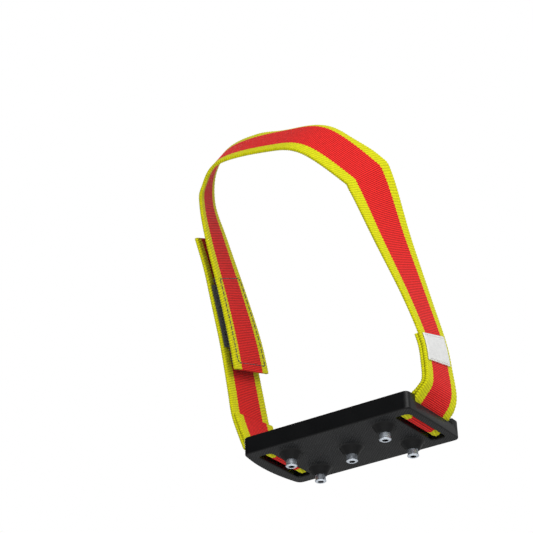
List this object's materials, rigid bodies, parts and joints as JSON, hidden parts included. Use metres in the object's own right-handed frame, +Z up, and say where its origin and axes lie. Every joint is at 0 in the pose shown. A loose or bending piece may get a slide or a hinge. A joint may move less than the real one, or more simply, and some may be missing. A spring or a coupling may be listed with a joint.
{
  "type": "mid-sole ice cleat",
  "caption": "Studded traction plate worn under the arch of a boot, held by a webbing strap that loops over the instep and closes with hook and loop tape.",
  "frame": {"origin": "centre of the plate's top face, where the boot's sole rests", "axes": "+X to the outer side of the foot (the label's side), -Y to the toe, +Z up from the plate to the boot"},
  "size_m": [0.0919, 0.0684, 0.1342],
  "materials": {
    "moulded_plate": "moulded, fine ridged underside",
    "stud_steel": "zinc plated, turned",
    "insert_brass": "turned",
    "webbing": "woven, red with yellow-green borders",
    "woven_label": "woven satin, bare",
    "loop_pile": "brushed loop pile",
    "hook_tape": "hook tape"
  },
  "bodies": {
    "plate": {"sole_plate": "moulded_plate", "stud_front_outer": "stud_steel", "stud_rear_outer": "stud_steel", "stud_centre": "stud_steel", "stud_front_inner": "stud_steel", "stud_rear_inner": "stud_steel", "insert_front_outer": "insert_brass", "insert_rear_outer": "insert_brass", "insert_centre": "insert_brass", "insert_front_inner": "insert_brass", "insert_rear_inner": "insert_brass", "outer_anchor_loop": "webbing", "inner_anchor_loop": "webbing"},
    "long_strap": {"outer_strap_run": "webbing", "outer_return_end": "webbing", "woven_label": "woven_label", "instep_strap_run": "webbing"},
    "tail": {"strap_tail": "webbing", "loop_patch": "loop_pile"},
    "short_strap": {"inner_strap_run": "webbing", "inner_return_end": "webbing", "hook_patch": "hook_tape"},
    "tab": {"pull_tab": "webbing"}
  },
  "joints": [
    {"name": "outer_fold", "type": "hinge", "parent": "plate", "child": "long_strap", "pos_m": [0.03732, 0, 0.00269], "axis": [0, 1, 0], "range_deg": [0, 70]},
    {"name": "tail_fold", "type": "hinge", "parent": "long_strap", "child": "tail", "pos_m": [-0.041, -0.032, 0.098], "axis": [0.3098, -0.7896, -0.5297], "range_deg": [0, 40]},
    {"name": "inner_fold", "type": "hinge", "parent": "plate", "child": "short_strap", "pos_m": [-0.039, 0, -0.0012], "axis": [0, -1, 0], "range_deg": [0, 80]},
    {"name": "tab_lift", "type": "hinge", "parent": "short_strap", "child": "tab", "pos_m": [-0.04597, -0.01919, 0.074], "axis": [0.1777, -0.9113, -0.3715], "range_deg": [0, 70]}
  ]
}
